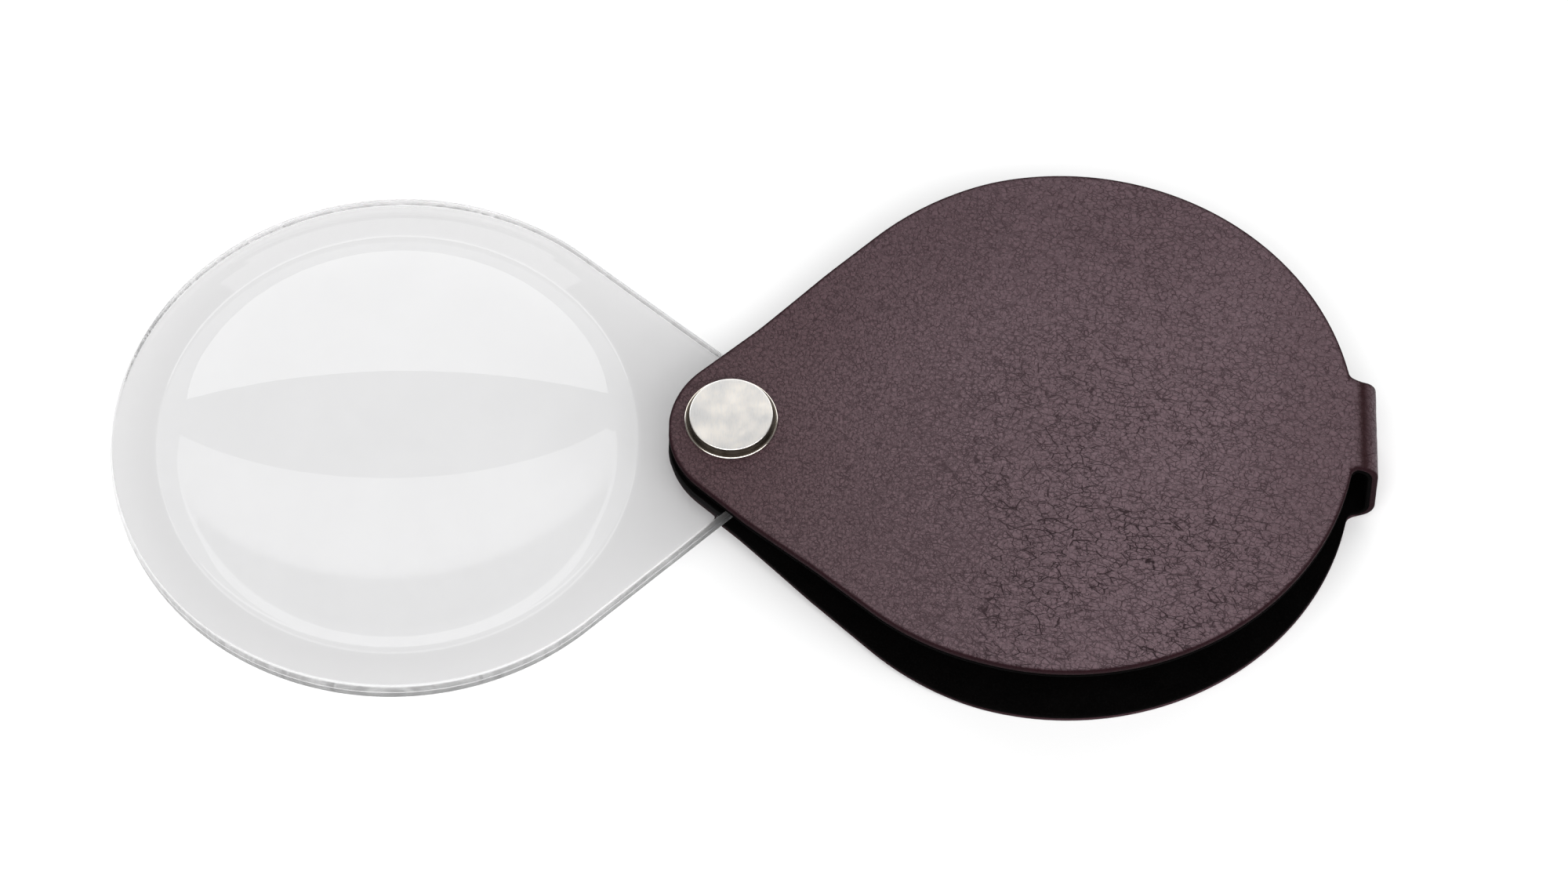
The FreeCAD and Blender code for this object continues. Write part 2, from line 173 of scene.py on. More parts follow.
def bend_table():
    """Distance from the rivet against height of the leaf's outside, with rounded bends."""
    points = [(0.0, BENDS[0][1])] + [bend[:2] for bend in BENDS]
    points.append((BEND_TABLE_REACH, BENDS[-1][1]))
    slopes = [(b[1] - a[1]) / (b[0] - a[0]) for a, b in zip(points, points[1:])]
    reach = [0.0]
    slope = [slopes[0]]
    for (place, _, radius), before, after in zip(BENDS, slopes, slopes[1:]):
        run = radius * math.tan(abs(math.atan(after) - math.atan(before)) / 2)
        reach += [place - run, place + run]
        slope += [before, after]
    reach.append(BEND_TABLE_REACH)
    slope.append(slopes[-1])
    distance = np.linspace(0, BEND_TABLE_REACH, round(BEND_TABLE_REACH / BEND_TABLE_STEP) + 1)
    steepness = np.interp(distance, reach, slope)
    mean_steepness = (steepness[1:] + steepness[:-1]) / 2
    rise = np.concatenate([[0], np.cumsum(mean_steepness * BEND_TABLE_STEP)])
    return distance, BENDS[0][1] + rise, steepness


DISTANCE, HEIGHT, STEEPNESS = bend_table()


def case_columns(fine):
    """Stations from the upper tip to the middle of the spine: (x, turn of the wrap, drop)."""
    tip = TIP_REACH - TIP_RADIUS * np.cos(np.radians(np.linspace(5, 90, int(24 * fine))))
    side = np.linspace(TIP_REACH, CASE_REACH, int(56 * fine))[1:]
    bend_start = SPINE_REACH - SPINE_CORNER
    last = math.acos((bend_start - CASE_REACH) / CASE_RADIUS)
    swept = np.linspace(math.pi / 2, last, int(72 * fine))[1:]
    end = CASE_REACH + CASE_RADIUS * np.cos(swept)
    flats = [(x, 0.0, 0.0) for x in np.concatenate([tip, side, end])]
    turns = [(bend_start, angle, 0.0) for angle in np.radians(np.linspace(0, 90, 19))[1:]]
    heights = np.linspace(0, LEAF_LEVEL - SPINE_CORNER, 9)[1:]
    drops = [(bend_start, math.pi / 2, drop) for drop in heights]
    return flats + [
        (x + SPINE_CORNER * math.sin(turn), turn, drop) for x, turn, drop in turns + drops
    ]


def sheet_stations(fine, rows):
    """Outside points, normals and distance to the edge, for the upper half of the wrap."""
    columns = case_columns(fine)
    share = np.linspace(0, 1, rows // 2 + 1) ** 1.55
    across = np.concatenate([-(1 - share), (1 - share)[::-1][1:]])
    points = np.zeros((len(columns), len(across), 3))
    normals = np.zeros_like(points)
    edge = np.zeros(points.shape[:2])
    for index, (x, turn, drop) in enumerate(columns):
        width = float(half_width(np.array(x)))
        slope = float(half_width(np.array(x + 0.01)) - half_width(np.array(x - 0.01))) / 0.02
        y_line = across * width
        y = y_line + CASE_SHIFT
        if turn == 0:
            reach = np.hypot(x, y)
            height = np.interp(reach, DISTANCE, HEIGHT)
            steep = np.interp(reach, DISTANCE, STEEPNESS)
            scale = 1 / np.sqrt(1 + steep ** 2)
            points[index] = np.stack([np.full_like(y, x), y, height], 1)
            upright = np.stack([-steep * x / reach, -steep * y / reach, np.ones_like(y)], 1)
            normals[index] = upright * scale[:, None]
        else:
            centre_x = SPINE_REACH - SPINE_CORNER
            centre_z = LEAF_LEVEL - SPINE_CORNER - drop
            direction = np.array([math.sin(turn), 0, math.cos(turn)])
            place = np.array([centre_x, 0, centre_z]) + direction * SPINE_CORNER
            points[index] = place[None, :]
            points[index, :, 1] = y
            normals[index] = direction[None, :]
            slope = 0.0
        edge[index] = (width - np.abs(y_line)) / math.sqrt(1 + slope ** 2)
        if x < SIDE_START:
            edge[index] = np.minimum(edge[index], TIP_RADIUS - np.hypot(x - TIP_REACH, y_line))
    edge[0] = 0
    return points, normals, np.maximum(edge, 0)


def whole_wrap(fine, rows):
    """The upper half of the wrap and its mirror image, as one run of stations."""
    points, normals, edge = sheet_stations(fine, rows)
    flip = np.array([1, 1, -1])
    lower_points = points[:-1][::-1] * flip
    lower_normals = normals[:-1][::-1] * flip
    return (
        np.concatenate([points, lower_points]),
        np.concatenate([normals, lower_normals]),
        np.concatenate([edge, edge[:-1][::-1]]),
    )


def closed_sheet(name, outer, inner):
    """A closed mesh from two grids of points that share their outline."""
    columns, rows = outer.shape[:2]
    count = columns * rows
    vertices = np.concatenate([outer.reshape(-1, 3), inner.reshape(-1, 3)]) * MM + np.array(PIVOT)
    grid = np.arange(count).reshape(columns, rows)
    corners = [grid[:-1, :-1], grid[1:, :-1], grid[1:, 1:], grid[:-1, 1:]]
    top = np.stack([c.ravel() for c in corners], 1)
    bottom = top[:, ::-1] + count
    border = np.concatenate([grid[0, :], grid[1:, -1], grid[-1, -2::-1], grid[-2:0:-1, 0]])
    ahead = np.roll(border, -1)
    wall = np.stack([border, ahead, ahead + count, border + count], 1)
    return mesh_object(name, vertices, np.concatenate([top, bottom, wall]).tolist())


def float_attribute(piece, name, values):
    """Give every point of a piece a number that its material can read."""
    layer = piece.data.attributes.new(name, "FLOAT", "POINT")
    layer.data.foreach_set("value", np.asarray(values, np.float32).ravel())


def rounded_drop(edge, radius):
    """How far a surface falls near an edge rounded to that radius."""
    inside = np.clip(radius - edge, 0, radius)
    return radius - np.sqrt(radius ** 2 - inside ** 2)


def grain_height(points):
    """Leather relief, from about -1 to 1, at points in mm: soft pebbles, pulled into wrinkles."""
    heights = np.zeros(points.shape[:2])
    for i in range(points.shape[0]):
        for j in range(points.shape[1]):
            x, y, z = points[i, j]
            place = Vector((x * 0.45, y * 0.62, z * 0.5))
            warp = noise.noise_vector(place * 0.6) * 0.8
            cells = noise.voronoi(place + warp, distance_metric="DISTANCE")[0]
            pebble = min(1.0, (cells[1] - cells[0]) * 3.0) - 0.8
            fine = noise.noise(Vector((x * 1.3, y * 1.1, z * 1.1)))
            wrinkle = noise.noise(Vector((x * 0.14, y * 0.45, z * 0.3)) + warp * 0.5)
            heights[i, j] = 0.55 * pebble + 0.35 * fine + 0.45 * wrinkle
    return heights


# ---------------------------------------------------------------- leather wrap and lining
CREASE_REACH = 78.95
CREASE_WIDTH = 0.82
CREASE_DEPTH = 0.30
CREASE_HEIGHT = 1.6  # how far down round the bend the crease is kept
CREASE_BELOW = 0.6  # its share of that depth on the lower leaf
GRAIN_DEPTH = 0.035
GRAIN_FADE = 1.2  # the grain dies out over this distance from the edge
OUTER_ROUND = 0.26
INNER_ROUND = 0.10
WORN_WIDTH = 0.5
LINING_TURN = 0.38
LINING_ROUND = 0.12
GRAIN_SEED = 1  # without it the grain would differ from run to run


def build_leather():
    """The leather wrap, with its grain, pressed crease and rounded cut edge."""
    points, normals, edge = whole_wrap(1.25, 124)
    noise.seed_set(GRAIN_SEED)
    grain = grain_height(points)
    fade = np.clip(edge / GRAIN_FADE, 0, 1)
    crease = np.exp(-(((points[:, :, 0] - CREASE_REACH) / CREASE_WIDTH) ** 2))
    crease *= np.abs(points[:, :, 2]) > LEAF_LEVEL - CREASE_HEIGHT
    pressed = CREASE_DEPTH * np.where(points[:, :, 2] < 0, CREASE_BELOW, 1.0)
    depth = rounded_drop(edge, OUTER_ROUND) + pressed * crease
    depth -= GRAIN_DEPTH * grain * fade * (1 - crease)
    outer = points - normals * depth[:, :, None]
    under = LEATHER - rounded_drop(edge, INNER_ROUND)
    inner = points - normals * under[:, :, None]
    piece = closed_sheet("leather_wrap", outer, inner)
    worn = np.exp(-edge / WORN_WIDTH)
    float_attribute(piece, "edge", np.concatenate([worn.ravel(), np.ones(worn.size)]))
    float_attribute(piece, "crease", np.concatenate([crease.ravel(), np.zeros(crease.size)]))
    drill(piece, PIVOT, POST_RADIUS * MM)
    return piece


def build_lining():
    """Black lining, its edge turned up to meet the leather so that the boards are closed in."""
    points, normals, edge = whole_wrap(0.7, 64)
    turned_up = np.clip(1 - edge / LINING_TURN, 0, 1) ** 0.5
    top = LINING_DEPTH - (LINING_DEPTH - LEATHER) * turned_up
    under = LEAF_THICK - rounded_drop(edge, LINING_ROUND)
    outer = points - normals * top[:, :, None]
    inner = points - normals * under[:, :, None]
    piece = closed_sheet("case_lining", outer, inner)
    drill(piece, PIVOT, POST_RADIUS * MM)
    return piece


# ---------------------------------------------------------------- lens
def frame_reach(angle):
    """Distance from the lens axis to the frame's outline; angle pi points at the rivet."""
    angle = abs(angle)
    side = math.pi / 2 + math.asin((PLATE_RADIUS - HUB_RADIUS) / PLATE_REACH)
    if angle <= side:
        return PLATE_RADIUS
    hub_x = -PLATE_REACH + HUB_RADIUS * math.cos(side)
    hub_y = HUB_RADIUS * math.sin(side)
    if angle <= math.atan2(hub_y, hub_x):
        return PLATE_RADIUS / math.cos(angle - side)
    off = math.pi - angle
    across = PLATE_REACH * math.sin(off)
    return PLATE_REACH * math.cos(off) + math.sqrt(HUB_RADIUS ** 2 - across ** 2)


def face_height(radius):
    """Half thickness of the moulding: spherical middle, flat land, small step, dished flange."""
    sag = LENS_CROWN - LENS_EDGE
    ball = (LENS_RADIUS ** 2 + sag ** 2) / (2 * sag)
    land = LENS_CROWN - ball + math.sqrt(ball ** 2 - SPHERE_RADIUS ** 2)
    if radius <= SPHERE_RADIUS:
        return LENS_CROWN - ball + math.sqrt(ball ** 2 - radius ** 2)
    places = [SPHERE_RADIUS, LENS_RADIUS - STEP_HALF, LENS_RADIUS + STEP_HALF, DISH_RADIUS]
    return float(np.interp(radius, places, [land, land - LAND_FALL, FLANGE_INNER, PLATE_HALF]))


# distance in from the outline, half height: rounded shoulder, drafted wall, parting line
RIM_PROFILE = (
    (0.62, 1.50), (0.44, 1.485), (0.30, 1.43), (0.20, 1.34), (0.145, 1.22), (0.12, 1.05),
    (0.09, 0.60), (0.06, 0.20), (0.055, 0.10), (0.015, 0.055), (0.0, 0.02),
)


def rim_masks(half, steps):
    """Where the outer wall, its parting line and the flange are.

    Each mask covers the upper points, the lower points and the two on the axis.
    """
    wall = np.zeros(half.shape[:2])
    lines = np.zeros(half.shape[:2])
    first = steps - len(RIM_PROFILE)
    for n, (inward, height) in enumerate(RIM_PROFILE):
        wall[:, first + n] = inward < RIM_WALL
        lines[:, first + n] = inward < PARTING_LINE
    radius = np.hypot(half[:, :, 0], half[:, :, 1])
    outside = np.clip((radius - LENS_RADIUS) / 0.4, 0, 1)
    centres = [0.0, 0.0]
    masks = (wall, lines, outside)
    return [np.concatenate([mask.ravel(), mask.ravel(), centres]) for mask in masks]


# radii of the rings of points outside the spherical middle, close together at the step
OUTER_RINGS = (
    27.75, 28.3, 29.0, 29.6, 29.83, 29.88, 29.94, 30.0, 30.06, 30.12, 30.17, 30.3, 30.8,
    31.6, 32.4, 33.2, 33.9, 34.3, 34.45, 34.5, 34.6,
)


def build_lens():
    """The clear moulding: middle, land, step, flange and rim, alike on both faces."""
    sectors = 480
    inner_rings = 52
    rings = [SPHERE_RADIUS * k / inner_rings for k in range(1, inner_rings + 1)]
    rings += OUTER_RINGS
    flats = 14
    shoulder = RIM_PROFILE[0][0]
    half = []
    for k in range(sectors):
        angle = 2 * math.pi * k / sectors
        angle = angle if angle <= math.pi else angle - 2 * math.pi
        reach = frame_reach(angle)
        line = [(radius, face_height(radius)) for radius in rings]
        for n in range(1, flats):
            line.append((rings[-1] + (reach - shoulder - rings[-1]) * n / flats, PLATE_HALF))
        line += [(reach - inward, height) for inward, height in RIM_PROFILE]
        half.append([(r * math.cos(angle), r * math.sin(angle), z) for r, z in line])
    half = np.array(half)
    steps = half.shape[1]
    upper = half.reshape(-1, 3)
    lower = upper * np.array([1, 1, -1])
    centres = np.array([[0, 0, LENS_CROWN], [0, 0, -LENS_CROWN]])
    vertices = np.concatenate([upper, lower, centres])
    offset = sectors * steps
    faces = []
    for k in range(sectors):
        a = k * steps
        b = ((k + 1) % sectors) * steps
        faces.append((2 * offset, a, b))
        faces.append((2 * offset + 1, b + offset, a + offset))
        for n in range(steps - 1):
            faces.append((a + n, a + n + 1, b + n + 1, b + n))
            faces.append((b + n + offset, b + n + 1 + offset, a + n + 1 + offset, a + n + offset))
        last = steps - 1
        faces.append((a + last, a + last + offset, b + last + offset, b + last))
    turn = Matrix.Rotation(SWING_REST, 4, "Z")
    centre = PIVOT / MM + turn @ Vector((PLATE_REACH, BORE_SHIFT, 0))
    placed = [(centre + turn @ Vector(v)) * MM for v in vertices]
    piece = mesh_object("lens_moulding", placed, faces)
    rim, rim_line, flange = rim_masks(half, steps)
    float_attribute(piece, "rim", rim)
    float_attribute(piece, "rim_line", rim_line)
    float_attribute(piece, "flange", flange)
    drill(piece, PIVOT, BORE_RADIUS * MM)
    piece.data.set_sharp_from_angle(angle=math.radians(30))
    return piece


# ---------------------------------------------------------------- lathe work
def lathe(name, profile, shaded, segments=144, upside_down=False):
    """Turn a closed profile of (radius, height) in mm about the rivet's axis.

    shaded tells which of its points lie in the groove that is painted dark as shade.
    """
    flip = -1 if upside_down else 1
    count = len(profile)
    vertices = []
    for k in range(segments):
        angle = 2 * math.pi * k / segments
        for radius, height in profile:
            across = flip * radius * math.sin(angle)
            vertices.append(PIVOT + Vector((radius * math.cos(angle), across, flip * height)) * MM)
    faces = []
    for k in range(segments):
        a = k * count
        b = ((k + 1) % segments) * count
        for n in range(count):
            m = (n + 1) % count
            faces.append((a + n, b + n, b + m, a + m))
    piece = mesh_object(name, vertices, faces)
    float_attribute(piece, "groove", [1.0 if shaded(r, h) else 0.0 for r, h in profile] * segments)
    bmesh_clean(piece)
    piece.data.set_sharp_from_angle(angle=math.radians(32))
    return piece


def bmesh_clean(piece):
    """Weld the points on the axis and turn every face outwards."""
    shape = bmesh.new()
    shape.from_mesh(piece.data)
    bmesh.ops.remove_doubles(shape, verts=shape.verts, dist=WELD_DISTANCE)
    bmesh.ops.recalc_face_normals(shape, faces=shape.faces)
    shape.to_mesh(piece.data)
    shape.free()
    piece.data.shade_smooth()


def arc_points(centre, radius, start, end, steps):
    """Points of an arc in a profile, angles in degrees."""
    return [
        (
            centre[0] + radius * math.cos(math.radians(start + (end - start) * k / steps)),
            centre[1] + radius * math.sin(math.radians(start + (end - start) * k / steps)),
        )
        for k in range(steps + 1)
    ]


CAP_DOME = 0.012
CAP_SHEET = 0.32
BRIM_ROUND = 0.11
LIP_ROUND = 0.16


def cap_profile():
    """Drawn cap: flat face, crisp rounded brim, upright wall under it."""
    top = CAP_FACE
    wall = CAP_RADIUS - 0.16
    radii = np.linspace(0, CAP_RADIUS - 0.13, 26)
    face = [(r, top - CAP_DOME * (r / CAP_RADIUS) ** 2) for r in radii]
    brim_centre = (CAP_RADIUS - BRIM_ROUND, top - CAP_DOME - BRIM_ROUND)
    brim = arc_points(brim_centre, BRIM_ROUND, 88, -70, 9)
    foot = [(wall, top - 0.42), (wall, HUB_LEVEL + 0.30), (wall + 0.03, HUB_LEVEL + 0.21)]
    inside = [(wall - CAP_SHEET, HUB_LEVEL + 0.21), (wall - CAP_SHEET, top - 0.42), (0, top - 0.33)]
    return face + brim + foot + inside


def cap_groove(radius, height):
    """The wall under the cap's brim."""
    return height < CAP_FACE - 0.17


def ring_groove(radius, height):
    """The floor of the ring inside its lip."""
    return radius < RING_RADIUS - 0.33


def ring_profile():
    """Ring with a rolled lip that catches the light."""
    outer = RING_RADIUS
    base = HUB_LEVEL
    lip = arc_points((outer - LIP_ROUND, base + 0.26), LIP_ROUND, -75, 175, 18)
    dip = [(outer - 0.40, base + 0.215), (outer - 0.62, base + 0.20), (POST_RADIUS, base + 0.20)]
    foot = [(POST_RADIUS, base), (outer - 0.30, base), (outer - LIP_ROUND, base + 0.03)]
    return foot + lip + dip


# ---------------------------------------------------------------- materials
class Nodes:
    """A short way to write a node tree. Its texture space is the row frame in mm."""

    def __init__(self, name):
        self.material = bpy.data.materials.new(name)
        self.material.use_nodes = True
        self.tree = self.material.node_tree
        self.tree.nodes.clear()
        self.output = self.tree.nodes.new("ShaderNodeOutputMaterial")
        self.shader = self.add("ShaderNodeBsdfPrincipled")
        self.link(self.shader.outputs["BSDF"], self.output.inputs["Surface"])
        coordinates = self.add("ShaderNodeTexCoord")
        self.place = self.scaled(coordinates.outputs["Object"], (1 / MM, 1 / MM, 1 / MM))

    def add(self, kind, **settings):
        node = self.tree.nodes.new(kind)
        for key, value in settings.items():
            setattr(node, key, value)
        return node

    def link(self, source, target):
        self.tree.links.new(source, target)

    def feed(self, target, value):
        """Link a socket, or set a plain value."""
        if isinstance(value, bpy.types.NodeSocket):
            self.link(value, target)
        else:
            target.default_value = value

    def scaled(self, vector, scale):
        node = self.add("ShaderNodeMapping")
        self.link(vector, node.inputs["Vector"])
        node.inputs["Scale"].default_value = scale
        return node.outputs["Vector"]

    def slanted(self, vector, angle):
        """The vector turned about Z."""
        node = self.add("ShaderNodeMapping")
        self.link(vector, node.inputs["Vector"])
        node.inputs["Rotation"].default_value = (0, 0, angle)
        return node.outputs["Vector"]

    def math(self, operation, first, second=0.0, clamp=False):
        node = self.add("ShaderNodeMath", operation=operation, use_clamp=clamp)
        self.feed(node.inputs[0], first)
        self.feed(node.inputs[1], second)
        return node.outputs[0]

    def noise(self, scale, detail=4.0, roughness=0.55, vector=None, distortion=0.0):
        node = self.add("ShaderNodeTexNoise")
        self.link(vector or self.place, node.inputs["Vector"])
        node.inputs["Scale"].default_value = scale
        node.inputs["Detail"].default_value = detail
        node.inputs["Roughness"].default_value = roughness
        node.inputs["Distortion"].default_value = distortion
        return node.outputs["Fac"]

    def warped(self, scale, amount, vector=None):
        """The vector pushed about by noise."""
        vector = vector or self.place
        source = self.add("ShaderNodeTexNoise")
        self.link(vector, source.inputs["Vector"])
        source.inputs["Scale"].default_value = scale
        node = self.add("ShaderNodeVectorMath", operation="MULTIPLY_ADD")
        self.link(source.outputs["Color"], node.inputs[0])
        node.inputs[1].default_value = (amount, amount, amount)
        self.link(vector, node.inputs[2])
        return node.outputs[0]

    def cracks(self, scale, vector, width):
        """0 in the cracks between cells, 1 on the cells."""
        node = self.add("ShaderNodeTexVoronoi", feature="DISTANCE_TO_EDGE")
        self.link(vector, node.inputs["Vector"])
        node.inputs["Scale"].default_value = scale
        return self.ramp(node.outputs["Distance"], 0.2 * width, width)

    def ramp(self, value, low, high, start=0.0, end=1.0):
        """A smooth step from start at low to end at high."""
        node = self.add("ShaderNodeMapRange", interpolation_type="SMOOTHSTEP")
        self.feed(node.inputs["Value"], value)
        node.inputs["From Min"].default_value = low
        node.inputs["From Max"].default_value = high
        node.inputs["To Min"].default_value = start
        node.inputs["To Max"].default_value = end
        return node.outputs["Result"]

    def mix(self, factor, first, second):
        node = self.add("ShaderNodeMix", data_type="RGBA")
        self.feed(node.inputs["Factor"], factor)
        for socket, value in ((node.inputs[6], first), (node.inputs[7], second)):
            if isinstance(value, tuple):
                value = (*value, 1.0)
            self.feed(socket, value)
        return node.outputs[2]

    def attribute(self, name):
        return self.add("ShaderNodeAttribute", attribute_name=name).outputs["Fac"]

    def bump(self, height, distance, strength=1.0, normal=None):
        node = self.add("ShaderNodeBump")
        self.link(height, node.inputs["Height"])
        node.inputs["Distance"].default_value = distance
        node.inputs["Strength"].default_value = strength
        if normal is not None:
            self.link(normal, node.inputs["Normal"])
        return node.outputs["Normal"]

    def finish(self, colour, roughness, normal=None, **plain):
        """Feed the shader; plain holds uniform values by socket name, underscores for spaces."""
        self.feed(self.shader.inputs["Base Color"], colour)
        self.feed(self.shader.inputs["Roughness"], roughness)
        if normal is not None:
            self.link(normal, self.shader.inputs["Normal"])
        for key, value in plain.items():
            self.shader.inputs[key.replace("_", " ")].default_value = value
        return self.material


CRACK_SLANT = math.radians(13)
LEATHER_LIGHT = (0.135, 0.090, 0.104)
LEATHER_MID = (0.121, 0.079, 0.091)
LEATHER_TIP = (0.069, 0.037, 0.041)
LEATHER_SPINE = (0.070, 0.040, 0.052)
LEATHER_DARK = (0.070, 0.038, 0.046)
LEATHER_CRACK = (0.009, 0.001, 0.003)
# painted shade for the pressed crease
LEATHER_CREASE_SHADE = (0.012, 0.0, 0.001)
LEATHER_EDGE = (0.012, 0.0008, 0.0030)
# painted sheen on the lower leaf's cut edge
LEATHER_LOWER_EDGE_SHEEN = (0.045, 0.020, 0.026)


def leather_cracks(n, x, y):
    """Short dark cracks: a coarse, a medium and a fine net, drawn out along one slant."""
    slanted = n.slanted(n.warped(0.45, 0.75), CRACK_SLANT)
    slanted = n.warped(2.6, 0.10, slanted)
    broken = n.noise(0.55, 3, 0.6, vector=n.scaled(slanted, (0.5, 1.4, 1.0)))
    coarse = n.math("SUBTRACT", 1.0, n.cracks(0.72, n.scaled(slanted, (0.42, 1.0, 1.0)), 0.040))
    coarse = n.math("MULTIPLY", coarse, n.ramp(broken, 0.41, 0.50))
    medium = n.math("SUBTRACT", 1.0, n.cracks(1.35, n.scaled(slanted, (0.55, 1.0, 1.0)), 0.058))
    medium = n.math("MULTIPLY", medium, n.ramp(n.noise(0.75, 3, 0.6), 0.43, 0.54, 0.0, 0.95))
    fine = n.math("SUBTRACT", 1.0, n.cracks(1.7, n.scaled(slanted, (0.80, 1.0, 1.0)), 0.10))
    fine = n.math("MULTIPLY", fine, n.ramp(n.noise(1.2, 3, 0.6), 0.40, 0.58, 0.34, 0.70))
    towards_spine = n.ramp(x, 4.0, 36.0, 0.12, 1.0)
    lower_side = n.ramp(y, 26.0, -16.0, 0.65, 1.0)
    beyond = n.ramp(x, 48.0, 74.0, 1.0, 0.75)
    patches = n.ramp(n.noise(0.075, 3), 0.36, 0.56, 0.70, 1.0)
    along = n.math("MULTIPLY", towards_spine, lower_side)
    presence = n.math("MULTIPLY", along, n.math("MULTIPLY", patches, beyond))
    large = n.math("MULTIPLY", n.math("MAXIMUM", coarse, medium), presence)
    return n.math("MAXIMUM", large, fine)


def leather_material():
    """Satin brown leather: mottled grain, drawn streaks, pores and short dark cracks.

    Places are in mm in the row frame, where x grows towards the spine, y away from the viewer
    and z upwards from the table.
    """
    n = Nodes("brown_leather")
    separate = n.add("ShaderNodeSeparateXYZ")
    n.link(n.place, separate.inputs[0])
    x, y, z = (separate.outputs[axis] for axis in "XYZ")
    streaks = n.noise(3.3, 4, 0.72, vector=n.scaled(n.place, (1.35, 0.70, 1.0)))
    streaks = n.ramp(streaks, 0.46, 0.66, 0.0, 0.62)
    streaks = n.math("MULTIPLY", streaks, n.ramp(x, 16.0, 52.0, 1.0, 0.45))
    pores = n.add("ShaderNodeTexVoronoi")
    n.link(n.place, pores.inputs["Vector"])
    pores.inputs["Scale"].default_value = 1.3
    spots = n.ramp(pores.outputs["Distance"], 0.05, 0.14, 0.55, 0.0)
    spots = n.math("MULTIPLY", spots, n.ramp(n.noise(0.4, 2), 0.45, 0.60))
    crack = n.math("MAXIMUM", leather_cracks(n, x, y), n.math("MAXIMUM", streaks, spots))
    grain = n.noise(2.4, 5, 0.70)
    edge = n.ramp(n.attribute("edge"), 0.30, 0.80)
    crease = n.attribute("crease")
    tone = n.ramp(n.noise(0.045, 3), 0.35, 0.65)
    base = n.mix(tone, LEATHER_LIGHT, LEATHER_MID)
    base = n.mix(n.ramp(x, -14.0, 40.0), LEATHER_TIP, base)
    base = n.mix(n.ramp(x, 77.6, 79.2, 0.0, 0.90), base, LEATHER_SPINE)
    # painted shade: the leather is darkened towards the far side and towards the spine, standing in
    # for the light falling off there
    far_side = n.ramp(y, 4.0, 32.0, 0.0, 0.55)
    painted_falloff_shade = n.math("MAXIMUM", far_side, n.ramp(x, 52.0, 76.0, 0.0, 0.42))
    base = n.mix(painted_falloff_shade, base, LEATHER_DARK)
    base = n.mix(n.ramp(grain, 0.40, 0.66, 0.0, 0.55), base, LEATHER_DARK)
    base = n.mix(crack, base, LEATHER_CRACK)
    # painted shade: the pressed crease is painted dark maroon for the shade that falls in it
    base = n.mix(n.math("MULTIPLY", crease, 0.95), base, LEATHER_CREASE_SHADE)
    # painted sheen: towards the spine the lower leaf's cut edge is painted a lighter maroon where
    # it catches the light; elsewhere the cut edges keep their dark dye
    lower_edge_sheen = n.math("MULTIPLY", n.ramp(z, 0.5, 0.9, 1.0, 0.0), n.ramp(x, 20.0, 48.0))
    base = n.mix(edge, base, n.mix(lower_edge_sheen, LEATHER_EDGE, LEATHER_LOWER_EDGE_SHEEN))
    roughness = n.ramp(n.math("ADD", grain, n.math("MULTIPLY", crack, 0.6)), 0.3, 1.1, 0.40, 0.70)
    matt = n.math("MULTIPLY", n.math("MAXIMUM", edge, crease), 0.5)
    roughness = n.math("ADD", roughness, matt, clamp=True)
    height = n.math("SUBTRACT", n.math("MULTIPLY", grain, 0.45), n.math("MULTIPLY", crack, 0.80))
    normal = n.bump(height, 0.00014, 0.9)
    return n.finish(base, roughness, normal, Specular_IOR_Level=0.22)


LINING_DARK = (0.0006, 0.0005, 0.0005)
LINING_LIGHT = (0.0012, 0.0010, 0.0010)
LINING_NAP = (0.0030, 0.0026, 0.0026)


def lining_material():
    """Black split leather with a fine nap."""
    n = Nodes("black_lining")
    nap = n.noise(5.0, 5, 0.7)
    broad = n.noise(0.25, 3)
    colour = n.mix(n.ramp(broad, 0.3, 0.7), LINING_DARK, LINING_LIGHT)
    colour = n.mix(n.ramp(nap, 0.45, 0.75), colour, LINING_NAP)
    normal = n.bump(nap, 0.00005, 0.6)
    return n.finish(colour, n.ramp(nap, 0.3, 0.7, 0.95, 0.85), normal, Specular_IOR_Level=0.02)


# painted shade: these tints grey the clear acrylic to the darker look it has against the bright
# floor, the flange more than the middle; the rim wall is left nearly clear
LENS_TINT = (0.818, 0.817, 0.819)
LENS_TINT_SMUDGED = (0.800, 0.799, 0.801)
FLANGE_SHADE_TINT = (0.735, 0.732, 0.734)
RIM_TINT = (0.96, 0.96, 0.96)
PARTING_TINT = (0.40, 0.40, 0.41)
LENS_SHADOW = (0.90, 0.90, 0.902, 1.0)


